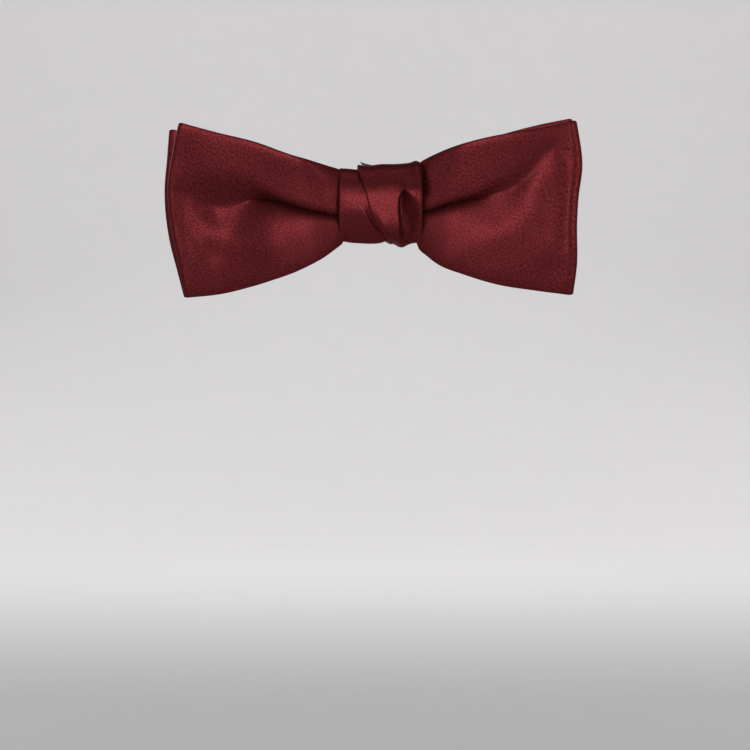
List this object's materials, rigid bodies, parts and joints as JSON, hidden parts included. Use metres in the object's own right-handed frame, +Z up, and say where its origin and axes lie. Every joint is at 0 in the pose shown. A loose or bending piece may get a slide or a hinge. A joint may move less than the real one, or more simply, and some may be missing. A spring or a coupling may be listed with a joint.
{
  "type": "clip-on bow tie",
  "caption": "Pre-tied satin bow tie with folded double bow, slanted wrapped knot and a pair of swivelling spring clips behind it that grip a shirt collar.",
  "frame": {"origin": "behind the middle of the knot, in the plane of the clips' base jaws where the collar leaf rests", "axes": "+X to the viewer's right along the bow, +Y from the bow's front to the wearer's collar, +Z up"},
  "size_m": [0.1124, 0.0248, 0.048],
  "materials": {
    "burgundy_satin": "satin weave, broad soft gloss",
    "interlining": "matt woven interlining",
    "burgundy_thread": "twisted polyester thread",
    "nickel_plate": "nickel-plated pressed steel",
    "spring_steel": "drawn spring wire"
  },
  "bodies": {
    "bow": {"front_bow_shell": "burgundy_satin", "back_bow_shell": "burgundy_satin", "knot_inner_wrap": "burgundy_satin", "knot_outer_wrap": "burgundy_satin", "front_bow_interlining": "interlining", "back_bow_interlining": "interlining", "knot_interlining": "interlining", "centre_binding_thread": "burgundy_thread", "knot_closing_stitches": "burgundy_thread", "clip_bridge": "nickel_plate", "left_swivel_rivet": "nickel_plate", "right_swivel_rivet": "nickel_plate", "left_friction_washer": "nickel_plate", "right_friction_washer": "nickel_plate"},
    "left_clip": {"left_jaw_base": "nickel_plate", "left_hinge_pin": "nickel_plate", "left_jaw_spring": "spring_steel"},
    "left_lever": {"left_jaw_lever": "nickel_plate"},
    "right_clip": {"right_jaw_base": "nickel_plate", "right_hinge_pin": "nickel_plate", "right_jaw_spring": "spring_steel"},
    "right_lever": {"right_jaw_lever": "nickel_plate"}
  },
  "joints": [
    {"name": "left_swivel", "type": "hinge", "parent": "bow", "child": "left_clip", "pos_m": [-0.017, 0, 0], "axis": [0, -1, 0], "range_deg": [-8, 25]},
    {"name": "left_jaw", "type": "hinge", "parent": "left_clip", "child": "left_lever", "pos_m": [-0.0142, 0.0024, 0.00285], "axis": [0.7133, 0, -0.7009], "range_deg": [0, 16], "stiffness_Nm_per_rad": 0.02, "springref_deg": -114.59, "deforming": ["left_jaw_spring"]},
    {"name": "right_swivel", "type": "hinge", "parent": "bow", "child": "right_clip", "pos_m": [0.017, 0, 0], "axis": [0, 1, 0], "range_deg": [-8, 25]},
    {"name": "right_jaw", "type": "hinge", "parent": "right_clip", "child": "right_lever", "pos_m": [0.01381, 0.0024, 0.00241], "axis": [0.6018, 0, 0.7986], "range_deg": [0, 16], "stiffness_Nm_per_rad": 0.02, "springref_deg": -114.59, "deforming": ["right_jaw_spring"]}
  ]
}
